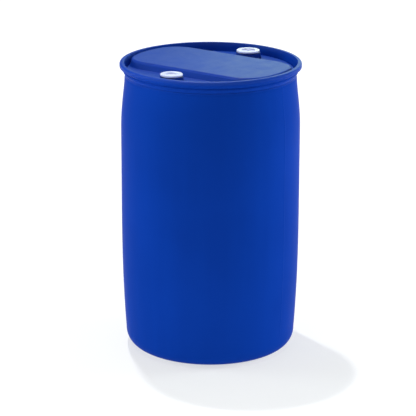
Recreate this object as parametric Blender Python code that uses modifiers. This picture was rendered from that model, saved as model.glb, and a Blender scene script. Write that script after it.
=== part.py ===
"""A 220 litre plastic tight-head drum with a handling ring and two screwed bungs.

The drum is one hollow blow-moulded shell. Its head has a raised band across the middle and a
sunken well on each side of it. A bung neck is welded into each well, and a white plug screws
into each neck on a flat gasket. The handling ring stands round the head.

Units are metres. +Z is up, the origin is the centre of the base, the raised band runs along X
and the bungs lie on Y.
"""
import math

import bmesh
import bpy

# Drum body
BODY_RADIUS = 0.2845
WALL = 0.0037
BODY_SEGMENTS = 48
NECK_RADIUS = 0.2665
LEDGE_TOP = 0.895
LEDGE_RADIUS = 0.2712
LEDGE_FOOT = 0.890
SHOULDER_TOP = 0.8865
SHOULDER_RADIUS = 0.2723
SHOULDER_START_POWER = 1.45
SHOULDER_END_POWER = 2.3
BELLY_TOP = 0.72
BELLY_BOTTOM = 0.45
TAPER_BOTTOM = 0.057
TAPER_RADIUS = 0.2727
TAPER_POWER = 2.4
CORNER_POWER = 2.3
FOOT_OUTER_RADIUS = 0.212
FOOT_INNER_RADIUS = 0.198
BASE_RECESS_RADIUS = 0.166
BASE_RECESS_DEPTH = 0.010

# Head: a raised band between two wells
WELL_FLOOR = 0.909
HEAD_CORNER = 0.005
BAND_TOP = 0.933
BAND_HALF_WIDTH = 0.132
BAND_END_RADIUS = 0.2615
BAND_CORNER_RADIUS = 0.085
BAND_EDGE = 0.006
BAND_END_DRAFT = 0.0035
BAND_SIDE_DRAFT = 0.014
BAND_ROOT = 0.010

# Handling ring
RING_TOP = 0.935
RING_FOOT = 0.8955
RING_RADIUS = 0.2877
RING_FLARE_HEIGHT = 0.9235
RING_LIP_OUTER_RADIUS = 0.278
RING_LIP_INNER_RADIUS = 0.2748
RING_BORE = NECK_RADIUS + 0.0003
RING_WAIST_RADIUS = 0.2735
RING_BEAD_RADIUS = 0.2755
RING_FLARE_TUCK = 0.0015
RING_FLARE_EDGE = 0.0020
RING_WAIST_RISE = 0.0160
RING_BEAD_RISE = 0.0130
RING_BEAD_DROP = 0.0090
RING_TUCK_RISE = 0.0035
RING_TUCK_RADIUS = 0.2718
RING_FOOT_RADIUS = 0.2712
RING_LIP_TUCK = 0.0012
RING_LIP_EDGE = 0.004

# Bungs
BUNG_OFFSET = 0.207
BUNG_SEGMENTS = 24
PLUG_TOP = 0.934
FLANGE_THICKNESS = 0.0055
FLANGE_EDGE = 0.0012
GASKET_THICKNESS = 0.0016
CONTACT_GAP = 0.0003
SPIGOT_BOTTOM = 0.9005
SPIGOT_WALL = 0.0042
PLUG_FLOOR = 0.003
WRENCH_RECESS_DEPTH = 0.0045
LUG_WIDTH = 0.009
LUG_GAP = 0.017
LUG_SINK = 0.0012
NECK_BOTTOM = 0.8915
NECK_WALL = 0.0045
COLLAR_EDGE = 0.0015
THREAD_ROOT_SINK = 0.0008
THREAD_LEAD_IN = math.radians(30)

FLANGE_BOTTOM = PLUG_TOP - FLANGE_THICKNESS
GASKET_TOP = FLANGE_BOTTOM - CONTACT_GAP
GASKET_BOTTOM = GASKET_TOP - GASKET_THICKNESS
COLLAR_TOP = GASKET_BOTTOM - CONTACT_GAP

# Each bung: the coarse one has a buttress thread of 4 mm pitch, the fine one a 2 inch pipe thread.
BUNGS = {
    "coarse": {
        "side": -1,
        "flange_radius": 0.0345,
        "recess_radius": 0.0205,
        "spigot_radius": 0.0259,
        "thread_radius": 0.0278,
        "pitch": 0.004,
        "turns": 2.5,
        "thread_start": 0.9125,
        "thread_foot": 0.0024,
        "thread_crest": 0.0009,
        "thread_lean": 0.0005,
        "clearance": 0.0003,
        "neck_bore": 0.02645,
        "groove_radius": 0.02835,
        "collar_top_radius": 0.0355,
        "collar_base_radius": 0.0400,
        "lug_angle": math.radians(35),
    },
    "fine": {
        "side": 1,
        "flange_radius": 0.0370,
        "recess_radius": 0.0225,
        "spigot_radius": 0.0285,
        "thread_radius": 0.02965,
        "pitch": 0.002309,
        "turns": 4.0,
        "thread_start": 0.9128,
        "thread_foot": 0.00145,
        "thread_crest": 0.0004,
        "thread_lean": 0.0,
        "clearance": 0.00025,
        "neck_bore": 0.0289,
        "groove_radius": 0.03005,
        "collar_top_radius": 0.0390,
        "collar_base_radius": 0.0430,
        "lug_angle": math.radians(125),
    },
}

SHADE_ANGLE = math.radians(35)


def clear_scene():
    """Remove every object, so that the script can be run again in the same file."""
    for item in list(bpy.data.objects):
        bpy.data.objects.remove(item, do_unlink=True)


def new_collection(name):
    """A collection of the scene."""
    collection = bpy.data.collections.new(name)
    bpy.context.scene.collection.children.link(collection)
    return collection


def new_material(name, colour, roughness):
    """A plastic or rubber of one colour."""
    material = bpy.data.materials.new(name)
    material.use_nodes = True
    shader = material.node_tree.nodes["Principled BSDF"]
    shader.inputs["Base Color"].default_value = (*colour, 1.0)
    shader.inputs["Roughness"].default_value = roughness
    shader.inputs["Metallic"].default_value = 0.0
    return material


def new_object(name, mesh, collection, material=None, parent=None):
    """An object in its collection, smooth but for its sharp edges."""
    item = bpy.data.objects.new(name, mesh)
    collection.objects.link(item)
    item.parent = parent
    if material:
        mesh.materials.append(material)
    return item


def as_cutter(item):
    """Hide a shape that is only added to or taken from another."""
    item.hide_render = True
    item.display_type = "WIRE"
    return item


def combine(item, other, operation):
    """Join another shape to an object, or cut it away."""
    modifier = item.modifiers.new(other.name, "BOOLEAN")
    modifier.operation = operation
    modifier.object = other
    modifier.solver = "EXACT"


def arc(centre, radius, start, end, steps):
    """Points round part of a circle in a profile, at angles in degrees."""
    angles = [math.radians(start + (end - start) * i / steps) for i in range(steps + 1)]
    return [(centre[0] + radius * math.cos(a), centre[1] + radius * math.sin(a)) for a in angles]


def turned(name, profile, steps, collection, material=None, parent=None, closed=False):
    """A profile of (radius, height) points turned about Z."""
    vertices = [(radius, 0.0, height) for radius, height in profile]
    edges = [(i, i + 1) for i in range(len(profile) - 1)]
    if closed:
        edges.append((len(profile) - 1, 0))
    mesh = bpy.data.meshes.new(name)
    mesh.from_pydata(vertices, edges, [])
    item = new_object(name, mesh, collection, material, parent)
    screw = item.modifiers.new("Turn", "SCREW")
    screw.steps = steps
    screw.render_steps = steps
    screw.use_merge_vertices = True
    screw.merge_threshold = 0.00001
    screw.use_smooth_shade = True
    return item


def smooth_by_angle(item):
    """Shade an object smooth across its gentle edges."""
    for polygon in item.data.polygons:
        polygon.use_smooth = True
    if item.data.polygons:
        item.data.set_sharp_from_angle(angle=SHADE_ANGLE)


def body_profile(inset):
    """Half section of the drum body, moved inwards by inset, from the head to the base."""
    corner = HEAD_CORNER
    centre = (NECK_RADIUS - corner, WELL_FLOOR - corner)
    points = [(0.0, WELL_FLOOR - inset)]
    points += arc((centre[0] - inset, centre[1] - inset), corner, 90, 0, 2)
    points.append((NECK_RADIUS - inset, LEDGE_TOP - inset))
    points.append((LEDGE_RADIUS - inset, LEDGE_TOP - inset))
    points.append((LEDGE_RADIUS - inset, LEDGE_FOOT - inset / 2))
    for t in (0.0, 0.18, 0.36, 0.62, 1.0):
        height = SHOULDER_TOP - t * (SHOULDER_TOP - BELLY_TOP)
        share = (1 - t ** SHOULDER_START_POWER) ** SHOULDER_END_POWER
        draw = (BODY_RADIUS - SHOULDER_RADIUS) * share
        points.append((BODY_RADIUS - draw - inset, height))
    for t in (1.0, 0.7, 0.4, 0.2, 0.07):
        height = TAPER_BOTTOM + t * (BELLY_BOTTOM - TAPER_BOTTOM)
        draw = (BODY_RADIUS - TAPER_RADIUS) * (1 - t) ** TAPER_POWER
        points.append((BODY_RADIUS - draw - inset, height))
    across = TAPER_RADIUS - FOOT_OUTER_RADIUS - inset
    down = TAPER_BOTTOM - inset
    for angle in (0, 25, 45, 65, 78, 90):
        a = math.radians(angle)
        x = across * math.cos(a) ** (2 / CORNER_POWER) if angle < 90 else 0.0
        z = down * math.sin(a) ** (2 / CORNER_POWER)
        points.append((FOOT_OUTER_RADIUS + x, TAPER_BOTTOM - z))
    points.append((FOOT_INNER_RADIUS + inset / 2, inset))
    points.append((BASE_RECESS_RADIUS + inset / 2, BASE_RECESS_DEPTH + inset))
    points.append((0.0, BASE_RECESS_DEPTH + inset))
    return points


def band_outline(end_growth, side_growth):
    """Outline of the raised band, grown at its ends and sides: its ends follow the drum's round."""
    width = BAND_HALF_WIDTH + side_growth
    radius = BAND_END_RADIUS + end_growth
    corner = BAND_CORNER_RADIUS + end_growth
    reach = math.sqrt((radius - corner) ** 2 - (width - corner) ** 2)
    side = math.degrees(math.atan2(width - corner, reach))
    half = arc((reach, corner - width), corner, -90, -side, 3)
    half += arc((0.0, 0.0), radius, -side, side, 8)[1:-1]
    half += arc((reach, width - corner), corner, side, 90, 3)
    return half + [(-x, -y) for x, y in half]


def band_block(name, inset, collection):
    """The raised band as a block with sloping sides, sunk into the head below it."""
    sections = [
        (WELL_FLOOR - BAND_ROOT, BAND_END_DRAFT, BAND_SIDE_DRAFT),
        (WELL_FLOOR, BAND_END_DRAFT, BAND_SIDE_DRAFT),
        (BAND_TOP - BAND_EDGE, 0.0, 0.0),
        (BAND_TOP, -BAND_EDGE, -BAND_EDGE),
    ]
    mesh = bmesh.new()
    rings = []
    for height, end_growth, side_growth in sections:
        outline = band_outline(end_growth - inset, side_growth - inset)
        rings.append([mesh.verts.new((x, y, height - inset)) for x, y in outline])
    count = len(rings[0])
    for low, high in zip(rings, rings[1:]):
        for i in range(count):
            j = (i + 1) % count
            mesh.faces.new((low[i], low[j], high[j], high[i]))
    mesh.faces.new(list(reversed(rings[0])))
    mesh.faces.new(rings[-1])
    bmesh.ops.recalc_face_normals(mesh, faces=mesh.faces)
    data = bpy.data.meshes.new(name)
    mesh.to_mesh(data)
    mesh.free()
    return as_cutter(new_object(name, data, collection))


def hole_cutter(name, radius, parent, collection):
    """A cylinder through the head on a bung's axis."""
    profile = [(0.0, BAND_TOP), (radius, BAND_TOP), (radius, NECK_BOTTOM), (0.0, NECK_BOTTOM)]
    return as_cutter(turned(name, profile, BUNG_SEGMENTS, collection, parent=parent))


def make_body(parts, cutters, material, bung_axes):
    """The hollow shell: its outside, less its inside, less the two bung holes."""
    body = turned("drum_body", body_profile(0.0), BODY_SEGMENTS, parts, material)
    cavity = as_cutter(turned("cavity", body_profile(WALL), BODY_SEGMENTS, cutters))
    combine(body, band_block("band_outside", 0.0, cutters), "UNION")
    combine(cavity, band_block("band_inside", WALL, cutters), "UNION")
    combine(body, cavity, "DIFFERENCE")
    for name, axis in bung_axes.items():
        radius = BUNGS[name]["neck_bore"] + NECK_WALL + 2 * CONTACT_GAP
        combine(body, hole_cutter(name + "_hole", radius, axis, cutters), "DIFFERENCE")


def make_ring(parts, material):
    """The handling ring: a rounded lip, a flare, a waist and a small bead round its foot."""
    lip_drop = RING_TOP - RING_FLARE_HEIGHT
    lip_reach = RING_RADIUS - RING_LIP_OUTER_RADIUS
    profile = []
    for angle in (90, 62, 36, 14, 0):
        a = math.radians(angle)
        x = RING_LIP_OUTER_RADIUS + lip_reach * math.cos(a)
        profile.append((x, RING_FLARE_HEIGHT + lip_drop * math.sin(a)))
    profile.append((RING_RADIUS - RING_FLARE_TUCK, RING_FLARE_HEIGHT - RING_FLARE_EDGE))
    profile.append((RING_WAIST_RADIUS, RING_FOOT + RING_WAIST_RISE))
    profile.append((RING_BEAD_RADIUS, RING_FOOT + RING_BEAD_RISE))
    profile.append((RING_BEAD_RADIUS, RING_FOOT + RING_BEAD_DROP))
    profile.append((RING_TUCK_RADIUS, RING_FOOT + RING_TUCK_RISE))
    profile.append((RING_FOOT_RADIUS, RING_FOOT))
    profile.append((RING_BORE, RING_FOOT))
    profile.append((RING_BORE, WELL_FLOOR))
    profile.append((RING_LIP_INNER_RADIUS - RING_LIP_TUCK, RING_TOP - RING_LIP_EDGE))
    profile.append((RING_LIP_INNER_RADIUS, RING_TOP))
    turned("handling_ring", profile, BODY_SEGMENTS, parts, material, closed=True)


def thread(name, bung, groove, parent, collection):
    """The helical ridge of a plug, or the wider, longer one that cuts its groove in the neck."""
    gap = bung["clearance"] if groove else 0.0
    low = bung["thread_foot"] / 2 + gap
    crest_low = bung["thread_crest"] / 2 - bung["thread_lean"] + gap
    crest_high = bung["thread_crest"] / 2 + bung["thread_lean"] + gap
    root = bung["spigot_radius"] - THREAD_ROOT_SINK
    crest = bung["groove_radius"] if groove else bung["thread_radius"]
    lead_in = THREAD_LEAD_IN if groove else 0.0
    turns = bung["turns"]
    if groove:
        turns = math.ceil((COLLAR_TOP - bung["thread_start"]) / bung["pitch"] + 1)
    section = [(root, -low), (crest, -crest_low), (crest, crest_high), (root, low)]
    base = bung["thread_start"] - bung["pitch"] * lead_in / math.tau
    mesh = bmesh.new()
    corners = []
    for radius, rise in section:
        x = radius * math.cos(-lead_in)
        y = radius * math.sin(-lead_in)
        corners.append(mesh.verts.new((x, y, base + rise)))
    mesh.faces.new(corners)
    steps = round(turns * BUNG_SEGMENTS)
    bmesh.ops.spin(
        mesh,
        geom=mesh.verts[:] + mesh.edges[:] + mesh.faces[:],
        cent=(0.0, 0.0, 0.0),
        axis=(0.0, 0.0, 1.0),
        dvec=(0.0, 0.0, bung["pitch"] / BUNG_SEGMENTS),
        angle=steps * math.tau / BUNG_SEGMENTS,
        steps=steps,
    )
    bmesh.ops.recalc_face_normals(mesh, faces=mesh.faces)
    data = bpy.data.meshes.new(name)
    mesh.to_mesh(data)
    mesh.free()
    return as_cutter(new_object(name, data, collection, parent=parent))


def wrench_lug(name, bung, turn, parent, collection):
    """One of the two blocks in a plug's recess that a bung wrench pushes on."""
    inner = LUG_GAP / 2
    outer = bung["recess_radius"] + 0.001
    top = PLUG_TOP - LUG_SINK
    bottom = PLUG_TOP - WRENCH_RECESS_DEPTH - 0.001
    mesh = bmesh.new()
    bmesh.ops.create_cube(mesh, size=1.0)
    bmesh.ops.scale(mesh, vec=(outer - inner, LUG_WIDTH, top - bottom), verts=mesh.verts)
    bmesh.ops.translate(mesh, vec=((outer + inner) / 2, 0.0, (top + bottom) / 2), verts=mesh.verts)
    data = bpy.data.meshes.new(name)
    mesh.to_mesh(data)
    mesh.free()
    lug = as_cutter(new_object(name, data, collection, parent=parent))
    lug.rotation_euler.z = bung["lug_angle"] + turn
    return lug


def make_neck(name, bung, axis, parts, cutters, material):
    """The threaded neck: a collar standing in the well and a tube through the head."""
    tube = bung["neck_bore"] + NECK_WALL
    base = WELL_FLOOR + CONTACT_GAP
    profile = [
        (bung["groove_radius"] + 0.0002, COLLAR_TOP),
        (bung["collar_top_radius"] - COLLAR_EDGE, COLLAR_TOP),
        (bung["collar_top_radius"], COLLAR_TOP - COLLAR_EDGE),
        (bung["collar_base_radius"] - 0.002, base + 0.005),
        (bung["collar_base_radius"], base),
        (tube, base),
        (tube, NECK_BOTTOM),
        (bung["neck_bore"], NECK_BOTTOM),
        (bung["neck_bore"], COLLAR_TOP - 0.0015),
    ]
    neck_name = name + "_bung_neck"
    neck = turned(neck_name, profile, BUNG_SEGMENTS, parts, material, axis, closed=True)
    combine(neck, thread(name + "_groove", bung, True, axis, cutters), "DIFFERENCE")


def make_plug(name, bung, axis, parts, cutters, material):
    """The white plug: a flange with a wrench recess, and a hollow threaded spigot below it."""
    recess_floor = PLUG_TOP - WRENCH_RECESS_DEPTH
    recess = bung["recess_radius"]
    flange = bung["flange_radius"]
    spigot = bung["spigot_radius"]
    hollow = spigot - SPIGOT_WALL
    profile = [
        (0.0, recess_floor),
        (recess - 0.0008, recess_floor),
        (recess, PLUG_TOP),
        (flange - FLANGE_EDGE, PLUG_TOP),
        (flange, PLUG_TOP - FLANGE_EDGE),
        (flange, FLANGE_BOTTOM),
        (spigot, FLANGE_BOTTOM),
        (spigot, SPIGOT_BOTTOM + 0.001),
        (spigot - 0.001, SPIGOT_BOTTOM),
        (hollow, SPIGOT_BOTTOM),
        (hollow, recess_floor - PLUG_FLOOR),
        (0.0, recess_floor - PLUG_FLOOR),
    ]
    plug = turned(name + "_bung_plug", profile, BUNG_SEGMENTS, parts, material, axis)
    combine(plug, thread(name + "_ridge", bung, False, axis, cutters), "UNION")
    for side, turn in (("a", 0.0), ("b", math.pi)):
        lug = wrench_lug(name + "_lug_" + side, bung, turn, axis, cutters)
        combine(plug, lug, "UNION")


def make_gasket(name, bung, axis, parts, material):
    """The flat sealing ring between the plug's flange and the neck."""
    inner = bung["thread_radius"] + 0.0006
    outer = bung["flange_radius"] - 0.0012
    profile = [
        (inner, GASKET_TOP),
        (outer, GASKET_TOP),
        (outer, GASKET_BOTTOM),
        (inner, GASKET_BOTTOM),
    ]
    gasket_name = name + "_bung_gasket"
    turned(gasket_name, profile, BUNG_SEGMENTS, parts, material, axis, closed=True)


def make_bung_axis(name, bung, collection):
    """An empty on a bung's axis, at the height of the base."""
    axis = new_object(name + "_bung_axis", None, collection)
    axis.location = (0.0, bung["side"] * BUNG_OFFSET, 0.0)
    return axis


def main():
    clear_scene()
    parts = new_collection("plastic_drum")
    cutters = new_collection("cutters")
    blue = new_material("blue_hdpe", (0.003, 0.034, 0.305), 0.38)
    neck_blue = new_material("neck_blue", (0.003, 0.020, 0.130), 0.45)
    white = new_material("white_hdpe", (0.80, 0.86, 0.92), 0.40)
    black = new_material("black_rubber", (0.012, 0.012, 0.014), 0.65)
    axes = {name: make_bung_axis(name, bung, parts) for name, bung in BUNGS.items()}
    make_body(parts, cutters, blue, axes)
    make_ring(parts, blue)
    for name, bung in BUNGS.items():
        make_neck(name, bung, axes[name], parts, cutters, neck_blue)
        make_plug(name, bung, axes[name], parts, cutters, white)
        make_gasket(name, bung, axes[name], parts, black)
    for item in list(parts.objects) + list(cutters.objects):
        if item.type == "MESH":
            smooth_by_angle(item)


main()
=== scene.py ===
"""Looks of a 220 litre blue plastic tight-head drum with a handling ring and two white bungs.

Every visible CAD node is replaced by a finer piece of the same size, built here in mesh code:
smooth turned and swept skins, a raised band with filleted sides, real threads and soft edges.
Units are metres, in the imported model's frame: +Z up, the drum's axis on Z, the bungs on Y.
"""
import math

import bpy
import numpy as np
from mathutils import Matrix, Vector


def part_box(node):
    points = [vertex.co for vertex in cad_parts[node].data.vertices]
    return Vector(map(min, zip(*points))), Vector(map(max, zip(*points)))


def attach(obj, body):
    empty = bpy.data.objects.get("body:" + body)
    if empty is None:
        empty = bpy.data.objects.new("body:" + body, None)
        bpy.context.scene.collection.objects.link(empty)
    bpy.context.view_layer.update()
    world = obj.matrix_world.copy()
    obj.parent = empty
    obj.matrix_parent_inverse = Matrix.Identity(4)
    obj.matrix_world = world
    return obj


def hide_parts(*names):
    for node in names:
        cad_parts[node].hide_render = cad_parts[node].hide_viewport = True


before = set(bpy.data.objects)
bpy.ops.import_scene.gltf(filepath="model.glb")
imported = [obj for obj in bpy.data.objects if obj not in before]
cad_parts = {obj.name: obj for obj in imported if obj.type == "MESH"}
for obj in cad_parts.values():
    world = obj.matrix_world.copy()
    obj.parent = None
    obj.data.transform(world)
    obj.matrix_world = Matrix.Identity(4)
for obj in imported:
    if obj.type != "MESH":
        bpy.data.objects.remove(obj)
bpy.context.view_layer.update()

BODY_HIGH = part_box("drum_body")[1]
RING_LOW, RING_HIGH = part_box("handling_ring")

# Drum body: radii and heights, with the rules that its shoulder, taper and base corner follow
BODY_RADIUS = BODY_HIGH.x
BAND_TOP = BODY_HIGH.z
WALL = 0.0037
NECK_RADIUS = 0.2665
LEDGE_TOP = 0.895
LEDGE_RADIUS = 0.2712
LEDGE_FOOT = 0.890
SHOULDER_TOP = 0.8865
SHOULDER_RADIUS = 0.2723
SHOULDER_START_POWER = 1.45
SHOULDER_END_POWER = 2.3
BELLY_TOP = 0.72
BELLY_BOTTOM = 0.45
TAPER_BOTTOM = 0.057
TAPER_RADIUS = 0.2727
TAPER_POWER = 2.4
CORNER_POWER = 2.3
FOOT_OUTER_RADIUS = 0.212
FOOT_INNER_RADIUS = 0.198
BASE_RECESS_RADIUS = 0.166
BASE_RECESS_DEPTH = 0.010

# Head: the raised band and the wells
WELL_FLOOR = 0.909
HEAD_CORNER = 0.005
BAND_HALF_WIDTH = 0.132
BAND_END_RADIUS = 0.2615
BAND_CORNER_RADIUS = 0.085
BAND_END_DRAFT = 0.0035
BAND_SIDE_DRAFT = 0.014
BAND_TOP_FILLET = 0.007
BAND_FOOT_FILLET = 0.004
BAND_FOOT_REACH = 0.2654
LOOP_GAP = 0.00003

# Handling ring: the lip, waist, bead and foot of its outer side
RING_LIP_INNER_RADIUS = 0.2748
RING_LIP_FILLET = 0.0100
RING_LIP_DEPTH = 0.0140
RING_WAIST_RADIUS = 0.2735
RING_WAIST_RISE = 0.0160
RING_BEAD_RADIUS = 0.2757
RING_BEAD_TOP = 0.0130
RING_BEAD_FOOT = 0.0085
RING_TUCK_RADIUS = 0.2718
RING_TUCK_RISE = 0.0035
RING_FOOT_RADIUS = 0.2712
RING_BORE_TOP_RADIUS = 0.2737
RING_BORE_DROP = 0.004

# Mould seam down two sides
SEAM_HEIGHT = 0.00035
SEAM_WIDTH = 0.0012
SEAM_OFFSETS = (-0.8, -0.45, -0.2, 0.0, 0.2, 0.45, 0.8)

# Gap between pieces that touch, and how finely the skins are made
CONTACT_GAP = 0.0003
HEAD_CORNER_POINTS = 7
BAND_TOP_SHARES = (0.15, 0.3, 0.45, 0.6, 0.75, 0.88, 0.96)
WELL_FLOOR_SHARES = (0.12, 0.4, 0.75, 1.0)
COLUMNS = 256
THREAD_COLUMNS = 128
ROWS_PER_PITCH = 14
SHARP_ANGLE = math.radians(38)

# Bungs: sizes that both share, then each one's own by the first word of its nodes' names
SPIGOT_WALL = 0.0042
PLUG_FLOOR = 0.003
WRENCH_RECESS_DEPTH = 0.0045
LUG_WIDTH = 0.009
LUG_GAP = 0.017
LUG_SINK = 0.0012
LUG_ROOT_OUTWARD = 0.0015
LUG_ROOT_DOWN = 0.001
NECK_WALL = 0.0045
MOUTH_GAP = 0.0002
THREAD_FADES_PER_TURN = 12
GROOVE_TURNS = 99.0
GROOVE_TURNS_BELOW_START = 1.5
GROOVE_TOP_GAP = 0.0015
THREAD_TOP_GAP = 0.0008
THREAD_BOTTOM_GAP = 0.004
BUNGS = {
    "coarse": {
        "recess_radius": 0.0205,
        "spigot_radius": 0.0259,
        "thread_radius": 0.0278,
        "pitch": 0.004,
        "turns": 2.5,
        "thread_start": 0.9125,
        "thread_foot": 0.0024,
        "thread_crest": 0.0009,
        "thread_lean": 0.0005,
        "clearance": 0.0003,
        "neck_bore": 0.02645,
        "groove_radius": 0.02835,
        "collar_top_radius": 0.0355,
        "lug_angle": math.radians(35),
    },
    "fine": {
        "recess_radius": 0.0225,
        "spigot_radius": 0.0285,
        "thread_radius": 0.02965,
        "pitch": 0.002309,
        "turns": 4.0,
        "thread_start": 0.9128,
        "thread_foot": 0.00145,
        "thread_crest": 0.0004,
        "thread_lean": 0.0,
        "clearance": 0.00025,
        "neck_bore": 0.0289,
        "groove_radius": 0.03005,
        "collar_top_radius": 0.0390,
        "lug_angle": math.radians(125),
    },
}


# ---------------------------------------------------------------- camera, light and floor

CAMERA_AZIMUTH = math.radians(35.7)
CAMERA_ELEVATION = math.radians(16.9)
CAMERA_ROLL = math.radians(0.14)
CAMERA_DISTANCE = 7.0
CAMERA_AIM_HEIGHT = 0.4511
CAMERA_AIM_RIGHT = -0.0075
CAMERA_LENS = 188.3


def make_camera():
    """A long lens above the drum, turned so that the bungs lie left and right of the band."""
    turn = Matrix.Rotation(CAMERA_AZIMUTH, 3, "Z")
    forward = turn @ Vector((0.0, math.cos(CAMERA_ELEVATION), -math.sin(CAMERA_ELEVATION)))
    right = turn @ Vector((1.0, 0.0, 0.0))
    aim = right * CAMERA_AIM_RIGHT + Vector((0.0, 0.0, CAMERA_AIM_HEIGHT))
    roll = Matrix.Rotation(-CAMERA_ROLL, 3, forward)
    right = roll @ right
    up = right.cross(forward)
    data = bpy.data.cameras.new("camera")
    data.lens = CAMERA_LENS
    data.sensor_width = 36.0
    data.clip_end = 200.0
    camera = bpy.data.objects.new("camera", data)
    camera.matrix_world = Matrix((
        (right.x, up.x, -forward.x, aim.x - forward.x * CAMERA_DISTANCE),
        (right.y, up.y, -forward.y, aim.y - forward.y * CAMERA_DISTANCE),
        (right.z, up.z, -forward.z, aim.z - forward.z * CAMERA_DISTANCE),
        (0.0, 0.0, 0.0, 1.0),
    ))
    bpy.context.scene.collection.objects.link(camera)
    bpy.context.scene.camera = camera


def make_light(name, place, aim, size, power, colour, diffuse=True, glossy=True):
    """A soft rectangular lamp; place and aim are seen from the camera: right, away, up."""
    turn = Matrix.Rotation(CAMERA_AZIMUTH, 3, "Z")
    data = bpy.data.lights.new(name, "AREA")
    data.shape = "RECTANGLE"
    data.size = size[0]
    data.size_y = size[1]
    data.energy = power
    data.color = colour
    light = bpy.data.objects.new(name, data)
    light.location = turn @ Vector(place)
    ray = turn @ Vector(aim) - light.location
    light.rotation_euler = ray.to_track_quat("-Z", "Y").to_euler()
    light.visible_camera = False
    light.visible_diffuse = diffuse
    light.visible_glossy = glossy
    bpy.context.scene.collection.objects.link(light)


def make_world():
    """A faintly blue surround, dim at the horizon and bright overhead like a large softbox."""
    world = bpy.data.worlds.new("surround")
    world.use_nodes = True
    tree = world.node_tree
    background = tree.nodes["Background"]
    background.inputs["Color"].default_value = (0.96, 0.98, 1.0, 1.0)
    direction = tree.nodes.new("ShaderNodeTexCoord")
    height = tree.nodes.new("ShaderNodeSeparateXYZ")
    rise = tree.nodes.new("ShaderNodeMapRange")
    rise.inputs["To Min"].default_value = 0.03
    rise.inputs["To Max"].default_value = 0.60
    tree.links.new(direction.outputs["Generated"], height.inputs[0])
    tree.links.new(height.outputs["Z"], rise.inputs["Value"])
    tree.links.new(rise.outputs["Result"], background.inputs["Strength"])
    bpy.context.scene.world = world


def make_floor():
    """A large pale floor that glows a little more with distance: a painted glow that keeps it white and
    lifts the shade around the drum.
    """
    bpy.ops.mesh.primitive_circle_add(vertices=64, radius=40.0, fill_type="NGON")
    floor = bpy.context.object
    floor.name = "floor"
    recipe = Recipe("pale_floor")
    reach = recipe.add("ShaderNodeVectorMath", operation="LENGTH")
    recipe.join(recipe.place, reach.inputs[0])
    # Painted glow: emission that lifts the shade near the drum and grows further out
    glow = recipe.ramp(reach.outputs["Value"], 0.8, 3.5, 0.62, 0.84)
    recipe.join(glow, recipe.shader.inputs["Emission Strength"])
    shader = recipe.shader
    shader.inputs["Base Color"].default_value = (0.34, 0.345, 0.35, 1.0)
    shader.inputs["Roughness"].default_value = 0.9
    shader.inputs["Specular IOR Level"].default_value = 0.0
    shader.inputs["Emission Color"].default_value = (1.0, 1.0, 1.0, 1.0)
    floor.data.materials.append(recipe.material)


# ---------------------------------------------------------------- profiles and skins

def centre_of(node):
    """The middle of a node's box seen from above, as (x, y)."""
    low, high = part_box(node)
    return ((low.x + high.x) / 2, (low.y + high.y) / 2)


def rounded(corners, steps=8, closed=False):
    """A profile through (radius, height, fillet) corners, with each corner rounded."""
    points = []
    count = len(corners)
    for i, (x, y, fillet) in enumerate(corners):
        if fillet == 0.0 or (not closed and i in (0, count - 1)):
            points.append((x, y))
            continue
        here = Vector((x, y))
        before = Vector(corners[i - 1][:2]) - here
        after = Vector(corners[(i + 1) % count][:2]) - here
        half = before.angle(after) / 2
        reach = min(fillet / math.tan(half), 0.48 * before.length, 0.48 * after.length)
        radius = reach * math.tan(half)
        to_before = before.normalized()
        to_after = after.normalized()
        centre = here + (to_before + to_after).normalized() * (radius / math.sin(half))
        start = here + to_before * reach - centre
        sweep = start.angle_signed(here + to_after * reach - centre)
        guard = min(0.25 * radius, 0.02 * min(before.length, after.length))
        points.append(tuple(here + to_before * (reach + guard)))
        for k in range(steps + 1):
            spoke = Matrix.Rotation(-sweep * k / steps, 2) @ start
            points.append(tuple(centre + spoke))
        points.append(tuple(here + to_after * (reach + guard)))
    return points


def turn(profile, angles, centre=(0.0, 0.0)):
    """Loops of points: each (radius, height) of a profile carried round the axis at centre."""
    loops = []
    for radius, height in profile:
        if radius < 1e-9:
            loops.append(np.array([[centre[0], centre[1], height]]))
            continue
        x = centre[0] + radius * np.cos(angles)
        y = centre[1] + radius * np.sin(angles)
        loops.append(np.stack([x, y, np.full(len(angles), height)], axis=1))
    return loops


def skin_faces(loops, first, wrap):
    """Faces between neighbouring loops whose points are numbered from first. A loop may be a pole."""
    starts = [first]
    for loop in loops:
        starts.append(starts[-1] + len(loop))
    pairs = list(zip(range(len(loops) - 1), range(1, len(loops))))
    if wrap:
        pairs.append((len(loops) - 1, 0))
    faces = []
    for a, b in pairs:
        count = max(len(loops[a]), len(loops[b]))
        for i in range(count):
            j = (i + 1) % count
            if len(loops[a]) == 1:
                faces.append((starts[a], starts[b] + i, starts[b] + j))
            elif len(loops[b]) == 1:
                faces.append((starts[a] + i, starts[b], starts[a] + j))
            else:
                faces.append((starts[a] + i, starts[b] + i, starts[b] + j, starts[a] + j))
    return faces


def make_piece(name, skins, material, wrap=False):
    """An object from one or more skins of loops, listed from the top down the outer side."""
    points = []
    faces = []
    for loops in skins:
        faces += skin_faces(loops, len(points), wrap)
        for loop in loops:
            points += loop.tolist()
    mesh = bpy.data.meshes.new(name)
    mesh.from_pydata(points, [], faces)
    mesh.materials.append(material)
    piece = bpy.data.objects.new(name, mesh)
    bpy.context.scene.collection.objects.link(piece)
    return piece


def combine(piece, others, operation):
    """Join other shapes to a piece, or cut them away, and remove them."""
    for other in others:
        modifier = piece.modifiers.new(other.name, "BOOLEAN")
        modifier.operation = operation
        modifier.object = other
        modifier.solver = "EXACT"
    bpy.context.view_layer.update()
    graph = bpy.context.evaluated_depsgraph_get()
    mesh = bpy.data.meshes.new_from_object(piece.evaluated_get(graph))
    piece.modifiers.clear()
    piece.data = mesh
    mesh.name = piece.name
    for other in others:
        bpy.data.objects.remove(other, do_unlink=True)


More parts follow.
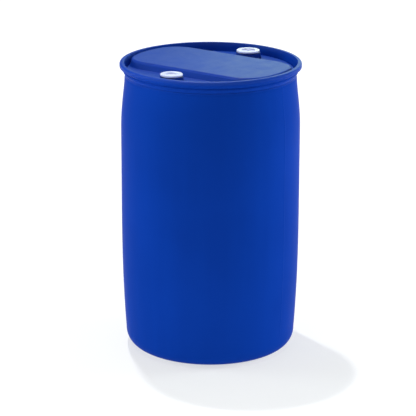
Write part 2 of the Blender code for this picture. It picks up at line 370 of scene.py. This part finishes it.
def shade(piece):
    """Smooth faces with sharp edges where the surface turns hard."""
    for polygon in piece.data.polygons:
        polygon.use_smooth = True
    piece.data.set_sharp_from_angle(angle=SHARP_ANGLE)


def place(piece, body, node, slot):
    """A finished piece rides on its body and stands for its CAD node."""
    shade(piece)
    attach(piece, body)
    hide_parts(node)


# ---------------------------------------------------------------- drum body

def column_angles():
    """Even angles round the drum, with extra ones across its two mould seams."""
    angles = set(np.linspace(0.0, math.tau, COLUMNS, endpoint=False).tolist())
    for side in (0.0, math.pi):
        for offset in SEAM_OFFSETS:
            angles.add((side + offset * SEAM_WIDTH / BODY_RADIUS) % math.tau)
    return np.array(sorted(angles))


def seam_ridge(angles):
    """Height of the mould seam at each angle: a narrow ridge on two opposite sides."""
    off = np.abs((angles + math.pi / 2) % math.pi - math.pi / 2) * BODY_RADIUS
    return SEAM_HEIGHT * np.exp(-((off / (0.4 * SEAM_WIDTH)) ** 2))


def band_radius(angles, growth, inset):
    """Distance from the axis to the raised band's outline at each angle.

    The outline is grown, more at its sides than at its ends, and then moved in by inset.
    """
    spread = BAND_SIDE_DRAFT / BAND_END_DRAFT if growth > 0.0 else 1.0
    width = BAND_HALF_WIDTH + growth * spread - inset
    radius = BAND_END_RADIUS + growth - inset
    corner = BAND_CORNER_RADIUS + growth - inset
    reach = math.sqrt((radius - corner) ** 2 - (width - corner) ** 2)
    side = math.atan2(width - corner, reach)
    along = np.abs(np.cos(angles))
    across = np.maximum(np.abs(np.sin(angles)), 1e-9)
    turned = np.arctan2(across, along)
    straight = width / across
    toward = reach * along + (width - corner) * across
    offset = reach ** 2 + (width - corner) ** 2 - corner ** 2
    round_corner = toward + np.sqrt(np.maximum(toward ** 2 - offset, 0.0))
    on_side = straight * along <= reach
    return np.where(turned < side, radius, np.where(on_side, straight, round_corner))


def ring_of(radii, height, angles):
    """A loop at one height, with its own radius at each angle."""
    heights = np.full(len(angles), height)
    return np.stack([radii * np.cos(angles), radii * np.sin(angles), heights], axis=1)


def head_loops(angles, inset):
    """The head from its centre to its rounded edge: band top, band side and well floor."""
    wall = rounded([
        (-0.030, BAND_TOP, 0.0),
        (0.0, BAND_TOP, BAND_TOP_FILLET),
        (BAND_END_DRAFT, WELL_FLOOR, BAND_FOOT_FILLET),
        (0.030, WELL_FLOOR, 0.0),
    ])[1:-1]
    loops = [np.array([[0.0, 0.0, BAND_TOP - inset]])]
    inner = band_radius(angles, wall[0][0], inset)
    for share in BAND_TOP_SHARES:
        loops.append(ring_of(inner * share, BAND_TOP - inset, angles))
    for i, (growth, height) in enumerate(wall):
        reach = BAND_FOOT_REACH - inset - (len(wall) - 1 - i) * LOOP_GAP
        radii = np.minimum(band_radius(angles, growth, inset), reach)
        loops.append(ring_of(radii, height - inset, angles))
    foot = radii
    edge = np.maximum(NECK_RADIUS - HEAD_CORNER - inset - CONTACT_GAP, foot + 4 * LOOP_GAP)
    for share in WELL_FLOOR_SHARES:
        loops.append(ring_of(foot + (edge - foot) * share, WELL_FLOOR - inset, angles))
    return loops


def side_profile(inset):
    """The drum's side from the head's edge to the base corner, moved in by inset."""
    points = []
    for k in range(HEAD_CORNER_POINTS):
        a = math.radians(90 - 90 * k / (HEAD_CORNER_POINTS - 1))
        x = NECK_RADIUS - HEAD_CORNER + HEAD_CORNER * math.cos(a)
        points.append((x - inset, WELL_FLOOR - HEAD_CORNER + HEAD_CORNER * math.sin(a) - inset))
    points += rounded([
        (NECK_RADIUS - inset, WELL_FLOOR - HEAD_CORNER - inset, 0.0),
        (NECK_RADIUS - inset, LEDGE_TOP - inset, 0.0004),
        (LEDGE_RADIUS - inset, LEDGE_TOP - inset, 0.0012),
        (LEDGE_RADIUS - inset, LEDGE_FOOT - inset / 2, 0.0012),
        (SHOULDER_RADIUS - inset, SHOULDER_TOP, 0.0),
    ], steps=4)[1:-1]
    steps = 20
    for k in range(steps + 1):
        t = (k / steps) ** 1.3
        share = (1 - t ** SHOULDER_START_POWER) ** SHOULDER_END_POWER
        draw = (BODY_RADIUS - SHOULDER_RADIUS) * share
        height = SHOULDER_TOP - t * (SHOULDER_TOP - BELLY_TOP)
        points.append((BODY_RADIUS - draw - inset, height))
    for share in (0.25, 0.5, 0.75):
        points.append((BODY_RADIUS - inset, BELLY_TOP + share * (BELLY_BOTTOM - BELLY_TOP)))
    steps = 18
    for k in range(steps + 1):
        t = 1 - k / steps
        draw = (BODY_RADIUS - TAPER_RADIUS) * (1 - t) ** TAPER_POWER
        height = TAPER_BOTTOM + t * (BELLY_BOTTOM - TAPER_BOTTOM)
        points.append((BODY_RADIUS - draw - inset, height))
    return points


def base_profile(inset):
    """The base corner, the foot it stands on and the recess inside that."""
    points = []
    across = TAPER_RADIUS - FOOT_OUTER_RADIUS - inset
    down = TAPER_BOTTOM - inset
    steps = 16
    for k in range(1, steps + 1):
        a = math.radians(90 * k / steps)
        x = across * max(math.cos(a), 0.0) ** (2 / CORNER_POWER)
        points.append((FOOT_OUTER_RADIUS + x, TAPER_BOTTOM - down * math.sin(a) ** (2 / CORNER_POWER)))
    points += rounded([
        (FOOT_OUTER_RADIUS - 0.004, inset, 0.0),
        (FOOT_INNER_RADIUS, inset, 0.012),
        (BASE_RECESS_RADIUS, BASE_RECESS_DEPTH + inset, 0.012),
        (0.10, BASE_RECESS_DEPTH + inset, 0.0),
        (0.05, BASE_RECESS_DEPTH + inset, 0.0),
        (0.0, BASE_RECESS_DEPTH + inset, 0.0),
    ])
    return points


def body_loops(angles, inset):
    """One skin of the drum body, from the middle of the head to the middle of the base.

    Round the band's ends the head's corner is held outside the foot of the band.
    """
    head = head_loops(angles, inset)
    side = turn(side_profile(inset), angles)
    edge = np.hypot(head[-1][:, 0], head[-1][:, 1])
    for k in range(HEAD_CORNER_POINTS):
        radii = np.maximum(np.hypot(side[k][:, 0], side[k][:, 1]), edge + (k + 1) * LOOP_GAP)
        side[k] = ring_of(radii, side[k][0, 2], angles)
    if inset == 0.0:
        ridge = seam_ridge(angles)
        for loop in side[HEAD_CORNER_POINTS:]:
            loop[:, 0] += ridge * np.cos(angles)
            loop[:, 1] += ridge * np.sin(angles)
    return head + side + turn(base_profile(inset), angles)


def bung_hole(name):
    """A cylinder that cuts the head on a bung's axis."""
    low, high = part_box(name + "_bung_neck")
    centre = centre_of(name + "_bung_neck")
    radius = BUNGS[name]["neck_bore"] + NECK_WALL + 2 * CONTACT_GAP
    angles = np.linspace(0.0, math.tau, THREAD_COLUMNS, endpoint=False)
    profile = [(0.0, high.z), (radius, high.z), (radius, low.z), (0.0, low.z)]
    return make_piece(name + "_hole", [turn(profile, angles, centre)], MATERIALS["blue"])


def make_body():
    """The hollow shell: an outer and an inner skin, joined where the bung holes are cut."""
    angles = column_angles()
    inside = list(reversed(body_loops(angles, WALL)))
    body = make_piece("drum_shell", [body_loops(angles, 0.0), inside], MATERIALS["blue"])
    combine(body, [bung_hole(name) for name in BUNGS], "DIFFERENCE")
    place(body, "drum", "drum_body", "drum_blue")


# ---------------------------------------------------------------- handling ring

def make_ring():
    """The handling ring: rounded lip, flare, waist, a bead round its foot and a sloping inner wall."""
    bore = NECK_RADIUS + CONTACT_GAP
    profile = rounded([
        (RING_LIP_INNER_RADIUS, RING_HIGH.z, 0.0012),
        (RING_HIGH.x, RING_HIGH.z, RING_LIP_FILLET),
        (RING_HIGH.x, RING_HIGH.z - RING_LIP_DEPTH, 0.0025),
        (RING_WAIST_RADIUS, RING_LOW.z + RING_WAIST_RISE, 0.0020),
        (RING_BEAD_RADIUS, RING_LOW.z + RING_BEAD_TOP, 0.0016),
        (RING_BEAD_RADIUS, RING_LOW.z + RING_BEAD_FOOT, 0.0022),
        (RING_TUCK_RADIUS, RING_LOW.z + RING_TUCK_RISE, 0.0020),
        (RING_FOOT_RADIUS, RING_LOW.z, 0.0006),
        (bore, RING_LOW.z, 0.0005),
        (bore, WELL_FLOOR, 0.0),
        (RING_BORE_TOP_RADIUS, RING_HIGH.z - RING_BORE_DROP, 0.003),
    ], closed=True)
    angles = np.linspace(0.0, math.tau, COLUMNS, endpoint=False)
    ring = make_piece("ring", [turn(profile, angles)], MATERIALS["ring"], wrap=True)
    place(ring, "drum", "handling_ring", "drum_blue")


# ---------------------------------------------------------------- bungs

def thread_share(bung, angles, height, groove):
    """How much of the thread's depth stands at each angle of one height, from 0 to 1."""
    gap = bung["clearance"] if groove else 0.0
    turns = GROOVE_TURNS if groove else bung["turns"]
    lead_in = -1 / THREAD_FADES_PER_TURN if groove else 0.0
    climb = (height - bung["thread_start"]) / bung["pitch"] - angles / math.tau
    whole = np.round(climb)
    along = whole + angles / math.tau
    off = (climb - whole) * bung["pitch"]
    foot = bung["thread_foot"] / 2 + gap
    top = bung["thread_crest"] / 2 + bung["thread_lean"] + gap
    bottom = bung["thread_crest"] / 2 - bung["thread_lean"] + gap
    upper = (foot - off) / max(foot - top, 1e-6)
    lower = (foot + off) / max(foot - bottom, 1e-6)
    share = np.clip(np.minimum(upper, lower), 0.0, 1.0)
    turns_left = np.minimum(along - lead_in, turns - along)
    return share * np.clip(turns_left * THREAD_FADES_PER_TURN, 0.0, 1.0)


def threaded(bung, angles, heights, centre, root, crest, groove):
    """Loops of a threaded cylinder at the given heights."""
    loops = []
    for height in heights:
        radii = root + (crest - root) * thread_share(bung, angles, height, groove)
        loop = ring_of(radii, height, angles)
        loop[:, 0] += centre[0]
        loop[:, 1] += centre[1]
        loops.append(loop)
    return loops


def make_neck(name, bung):
    """The bung neck: a rounded collar, a tube through the head and a threaded bore."""
    node = name + "_bung_neck"
    low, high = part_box(node)
    centre = centre_of(node)
    angles = np.linspace(0.0, math.tau, THREAD_COLUMNS, endpoint=False)
    tube = bung["neck_bore"] + NECK_WALL
    collar = (high.x - low.x) / 2
    base = WELL_FLOOR + CONTACT_GAP
    mouth = bung["groove_radius"] + MOUTH_GAP
    outside = rounded([
        (mouth, high.z, 0.0),
        (bung["collar_top_radius"], high.z, 0.0018),
        (collar - 0.0020, base + 0.0050, 0.0020),
        (collar, base, 0.0006),
        (tube, base, 0.0),
        (tube, low.z, 0.0008),
        (bung["neck_bore"], low.z, 0.0),
    ])
    bottom = bung["thread_start"] - GROOVE_TURNS_BELOW_START * bung["pitch"]
    top = high.z - GROOVE_TOP_GAP
    rows = round((top - bottom) / bung["pitch"] * ROWS_PER_PITCH)
    heights = np.linspace(bottom, top, rows)
    bore = threaded(bung, angles, heights, centre, bung["neck_bore"], bung["groove_radius"], True)
    loops = turn(outside, angles, centre) + bore
    neck = make_piece(name + "_neck", [loops], MATERIALS["neck"], wrap=True)
    place(neck, "drum", node, "neck_blue")


def make_lug(name, bung, centre, top, turned):
    """One of the two blocks in a plug's recess that a bung wrench pushes on."""
    inner = LUG_GAP / 2
    outer = bung["recess_radius"] + LUG_ROOT_OUTWARD
    height = WRENCH_RECESS_DEPTH - LUG_SINK + LUG_ROOT_DOWN
    bpy.ops.mesh.primitive_cube_add(size=1.0)
    lug = bpy.context.object
    lug.name = name
    lug.data.transform(Matrix.Diagonal((outer - inner, LUG_WIDTH, height, 1.0)))
    middle = Vector(((outer + inner) / 2, 0.0, top - LUG_SINK - height / 2))
    lug.data.transform(Matrix.Translation(middle))
    lug.data.transform(Matrix.Rotation(bung["lug_angle"] + turned, 4, "Z"))
    lug.data.transform(Matrix.Translation((centre[0], centre[1], 0.0)))
    bevel = lug.modifiers.new("soft_edges", "BEVEL")
    bevel.width = 0.0009
    bevel.segments = 3
    return lug


def make_plug(name, bung):
    """The white plug: a soft-edged flange, a wrench recess with two lugs and a threaded spigot."""
    node = name + "_bung_plug"
    low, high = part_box(node)
    gasket_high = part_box(name + "_bung_gasket")[1]
    centre = centre_of(node)
    angles = np.linspace(0.0, math.tau, THREAD_COLUMNS, endpoint=False)
    flange = (high.x - low.x) / 2
    under = gasket_high.z + CONTACT_GAP
    floor = high.z - WRENCH_RECESS_DEPTH
    spigot = bung["spigot_radius"]
    hollow = spigot - SPIGOT_WALL
    recess = bung["recess_radius"]
    cap = rounded([
        (0.0, floor, 0.0),
        (recess - 0.0008, floor, 0.0016),
        (recess, high.z, 0.0010),
        (flange, high.z, 0.0014),
        (flange, under, 0.0005),
        (spigot, under, 0.0),
    ])
    skirt = rounded([
        (spigot, low.z + 0.003, 0.0),
        (spigot, low.z, 0.0010),
        (hollow, low.z, 0.0010),
        (hollow, floor - PLUG_FLOOR, 0.0020),
        (0.0, floor - PLUG_FLOOR, 0.0),
    ])
    thread_top = under - THREAD_TOP_GAP
    thread_bottom = low.z + THREAD_BOTTOM_GAP
    rows = round((thread_top - thread_bottom) / bung["pitch"] * ROWS_PER_PITCH)
    heights = np.linspace(thread_top, thread_bottom, rows)
    ridge = threaded(bung, angles, heights, centre, spigot, bung["thread_radius"], False)
    loops = turn(cap, angles, centre) + ridge + turn(skirt, angles, centre)
    plug = make_piece(name + "_plug", [loops], MATERIALS["white"])
    lugs = [make_lug(name + "_lug", bung, centre, high.z, turned) for turned in (0.0, math.pi)]
    combine(plug, lugs, "UNION")
    place(plug, name + "_plug", node, "plug_white")


def make_gasket(name):
    """The sealing ring under a plug's flange, with soft edges."""
    node = name + "_bung_gasket"
    low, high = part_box(node)
    centre = centre_of(node)
    outer = (high.x - low.x) / 2
    inner = BUNGS[name]["thread_radius"] + 0.0006
    angles = np.linspace(0.0, math.tau, THREAD_COLUMNS, endpoint=False)
    profile = rounded([
        (inner, high.z, 0.0004),
        (outer, high.z, 0.0006),
        (outer, low.z, 0.0006),
        (inner, low.z, 0.0004),
    ], steps=4, closed=True)
    gasket = make_piece(name + "_gasket", [turn(profile, angles, centre)], MATERIALS["rubber"], wrap=True)
    place(gasket, name + "_lift", node, "gasket_black")


# ---------------------------------------------------------------- materials

class Recipe:
    """A material's node tree, with short ways to add and join its nodes."""

    def __init__(self, name):
        self.material = bpy.data.materials.new(name)
        self.material.use_nodes = True
        self.tree = self.material.node_tree
        self.shader = self.tree.nodes["Principled BSDF"]
        self.place = self.add("ShaderNodeTexCoord").outputs["Object"]

    def add(self, kind, **settings):
        """A node with its properties set."""
        node = self.tree.nodes.new(kind)
        for key, value in settings.items():
            setattr(node, key, value)
        return node

    def join(self, output, socket):
        """A link between two sockets."""
        self.tree.links.new(output, socket)

    def noise(self, scale, detail, stretch=(1.0, 1.0, 1.0), roughness=0.5):
        """Noise over the object's own space, stretched along its axes."""
        mapping = self.add("ShaderNodeMapping")
        mapping.inputs["Scale"].default_value = stretch
        self.join(self.place, mapping.inputs["Vector"])
        noise = self.add("ShaderNodeTexNoise")
        noise.inputs["Scale"].default_value = scale
        noise.inputs["Detail"].default_value = detail
        noise.inputs["Roughness"].default_value = roughness
        self.join(mapping.outputs["Vector"], noise.inputs["Vector"])
        return noise.outputs["Fac"]

    def ramp(self, value, low, high, to_low, to_high):
        """A value carried from one range to another and held within it."""
        node = self.add("ShaderNodeMapRange", clamp=True)
        node.inputs["From Min"].default_value = low
        node.inputs["From Max"].default_value = high
        node.inputs["To Min"].default_value = to_low
        node.inputs["To Max"].default_value = to_high
        self.join(value, node.inputs["Value"])
        return node.outputs["Result"]

    def mix(self, share, first, second):
        """A colour between two, which are either colours or outputs."""
        node = self.add("ShaderNodeMix", data_type="RGBA")
        self.join(share, node.inputs["Factor"])
        for socket, colour in ((node.inputs[6], first), (node.inputs[7], second)):
            if isinstance(colour, tuple):
                socket.default_value = (*colour, 1.0)
            else:
                self.join(colour, socket)
        return node.outputs[2]

    def math(self, operation, first, second):
        """An operation on two values, the second of which may be a number."""
        node = self.add("ShaderNodeMath", operation=operation)
        self.join(first, node.inputs[0])
        if isinstance(second, float):
            node.inputs[1].default_value = second
        else:
            self.join(second, node.inputs[1])
        return node.outputs[0]

    def bump(self, height, depth, below=None):
        """Relief of the given depth in metres, over another relief if there is one."""
        node = self.add("ShaderNodeBump")
        node.inputs["Strength"].default_value = 1.0
        node.inputs["Distance"].default_value = depth
        self.join(height, node.inputs["Height"])
        if below:
            self.join(below, node.inputs["Normal"])
        return node.outputs["Normal"]


def blue_plastic(name, low, high, dull):
    """Satin blow-moulded HDPE: faint flow streaks, a leathery mould grain and light scuffs.

    The specular level is a painted sheen: between two heights it rises from the dull value on the sides
    to a higher one on the top, so the top reflects more light than the sides. Roughness rises with it.
    """
    recipe = Recipe(name)
    clouds = recipe.noise(4.0, 3.0)
    streaks = recipe.noise(26.0, 3.0, stretch=(1.0, 1.0, 0.06))
    grain = recipe.noise(900.0, 2.0)
    waves = recipe.noise(7.0, 1.0, stretch=(1.0, 1.0, 0.6))
    scuffs = recipe.noise(60.0, 6.0, stretch=(1.0, 1.0, 0.35), roughness=0.7)
    deep = recipe.mix(recipe.ramp(clouds, 0.35, 0.65, 0.0, 1.0),
                      (0.0026, 0.0350, 0.298), (0.0029, 0.0382, 0.324))
    streaked = recipe.mix(recipe.ramp(streaks, 0.40, 0.75, 0.0, 0.5), deep,
                          (0.0031, 0.0410, 0.341))
    marks = recipe.ramp(scuffs, 0.66, 0.78, 0.0, 0.35)
    colour = recipe.mix(marks, streaked, (0.006, 0.050, 0.36))
    recipe.join(colour, recipe.shader.inputs["Base Color"])
    height = recipe.add("ShaderNodeSeparateXYZ")
    recipe.join(recipe.place, height.inputs[0])
    # Painted sheen: more specular reflection higher up, standing in for the brighter light on the top
    sheen = recipe.ramp(height.outputs["Z"], low, high, dull, 0.120)
    recipe.join(sheen, recipe.shader.inputs["Specular IOR Level"])
    gloss = recipe.ramp(streaks, 0.3, 0.7, 0.34, 0.42)
    rough = recipe.math("ADD", gloss, recipe.ramp(scuffs, 0.6, 0.8, 0.0, 0.12))
    rough = recipe.math("ADD", rough, recipe.math("MULTIPLY", sheen, 0.8))
    recipe.join(rough, recipe.shader.inputs["Roughness"])
    relief = recipe.bump(waves, 0.0010)
    relief = recipe.bump(grain, 0.00003, relief)
    recipe.join(relief, recipe.shader.inputs["Normal"])
    return recipe.material


def neck_plastic():
    """Slightly darker, smoother injection-moulded HDPE."""
    recipe = Recipe("neck_hdpe")
    clouds = recipe.noise(30.0, 3.0)
    grain = recipe.noise(1400.0, 2.0)
    colour = recipe.mix(recipe.ramp(clouds, 0.35, 0.65, 0.0, 1.0),
                        (0.0045, 0.0270, 0.230), (0.0055, 0.0320, 0.260))
    recipe.join(colour, recipe.shader.inputs["Base Color"])
    recipe.join(recipe.ramp(clouds, 0.3, 0.7, 0.38, 0.48), recipe.shader.inputs["Roughness"])
    recipe.join(recipe.bump(grain, 0.00002), recipe.shader.inputs["Normal"])
    recipe.shader.inputs["Specular IOR Level"].default_value = 0.1
    return recipe.material


def white_plastic():
    """White injection-moulded HDPE, slightly see-through, with a little dust in its grain."""
    recipe = Recipe("white_hdpe")
    clouds = recipe.noise(45.0, 4.0)
    dust = recipe.noise(220.0, 5.0, roughness=0.65)
    grain = recipe.noise(1600.0, 2.0)
    clean = recipe.mix(recipe.ramp(clouds, 0.35, 0.65, 0.0, 1.0),
                       (0.54, 0.57, 0.80), (0.59, 0.62, 0.83))
    colour = recipe.mix(recipe.ramp(dust, 0.58, 0.75, 0.0, 0.25), clean, (0.48, 0.52, 0.62))
    recipe.join(colour, recipe.shader.inputs["Base Color"])
    recipe.join(recipe.ramp(clouds, 0.3, 0.7, 0.36, 0.46), recipe.shader.inputs["Roughness"])
    recipe.join(recipe.bump(grain, 0.00002), recipe.shader.inputs["Normal"])
    recipe.shader.inputs["Specular IOR Level"].default_value = 0.3
    recipe.shader.inputs["Subsurface Weight"].default_value = 0.40
    recipe.shader.inputs["Subsurface Radius"].default_value = (1.0, 1.0, 1.0)
    recipe.shader.inputs["Subsurface Scale"].default_value = 0.006
    return recipe.material


def black_rubber():
    """Matt dark EPDM with a fine dusty grain."""
    recipe = Recipe("black_epdm")
    grain = recipe.noise(1500.0, 3.0)
    dust = recipe.noise(160.0, 4.0)
    colour = recipe.mix(recipe.ramp(dust, 0.45, 0.75, 0.0, 1.0),
                        (0.010, 0.014, 0.040), (0.024, 0.030, 0.062))
    recipe.join(colour, recipe.shader.inputs["Base Color"])
    recipe.join(recipe.ramp(dust, 0.3, 0.7, 0.62, 0.78), recipe.shader.inputs["Roughness"])
    recipe.join(recipe.bump(grain, 0.00004), recipe.shader.inputs["Normal"])
    return recipe.material


# ---------------------------------------------------------------- the scene

# Body and ring are one plastic in two copies that differ only in where the painted sheen rises and how
# strong it is on the sides
MATERIALS = {
    "blue": blue_plastic("blue_hdpe", 0.890, 0.905, 0.005),
    "ring": blue_plastic("ring_hdpe", 0.922, 0.931, 0.018),
    "neck": neck_plastic(),
    "white": white_plastic(),
    "rubber": black_rubber(),
}

make_camera()
make_world()
make_floor()
make_light("key", (-0.73, 1.68, 6.5), (0.0, 0.0, 0.5),
           size=(0.2, 0.2), power=260.0, colour=(1.0, 0.99, 0.97))
make_light("left_strip", (-3.4, 0.3, 1.1), (0.0, 0.0, 0.4),
           size=(1.2, 2.0), power=78.0, colour=(0.9, 1.0, 0.98), glossy=False)
make_light("right_strip", (3.4, 0.6, 1.1), (0.0, 0.0, 0.4),
           size=(1.2, 2.0), power=104.0, colour=(0.9, 1.0, 0.98), glossy=False)
make_light("low_fill", (0.0, -1.05, 0.15), (0.0, 0.0, 0.15),
           size=(1.8, 0.2), power=3.0, colour=(1.0, 1.0, 1.0), glossy=False)
make_light("head_fill", (-0.20, -0.36, 1.06), (0.30, 0.506, 1.06),
           size=(0.5, 0.12), power=0.32, colour=(0.9, 1.0, 0.95), glossy=False)
make_light("back_card", (1.2, 3.0, 1.8), (0.0, 0.0, 0.9),
           size=(2.6, 1.6), power=29.0, colour=(0.74, 1.08, 0.65), diffuse=False)
make_light("high_card", (0.6, 3.0, 3.6), (0.0, 0.0, 0.9),
           size=(3.0, 1.6), power=40.0, colour=(0.68, 1.1, 0.75), diffuse=False)
make_light("front_card", (0.3, -3.0, 3.4), (0.0, 0.0, 0.9),
           size=(3.0, 1.4), power=40.0, colour=(0.75, 1.1, 0.9), diffuse=False)
make_light("side_card", (-3.6, -1.2, 1.8), (0.0, 0.0, 0.9),
           size=(2.0, 2.0), power=34.0, colour=(0.70, 1.1, 0.55), diffuse=False)
bpy.context.scene.view_settings.view_transform = "Standard"

make_body()
make_ring()
for bung_name, bung_sizes in BUNGS.items():
    make_neck(bung_name, bung_sizes)
    make_plug(bung_name, bung_sizes)
    make_gasket(bung_name)
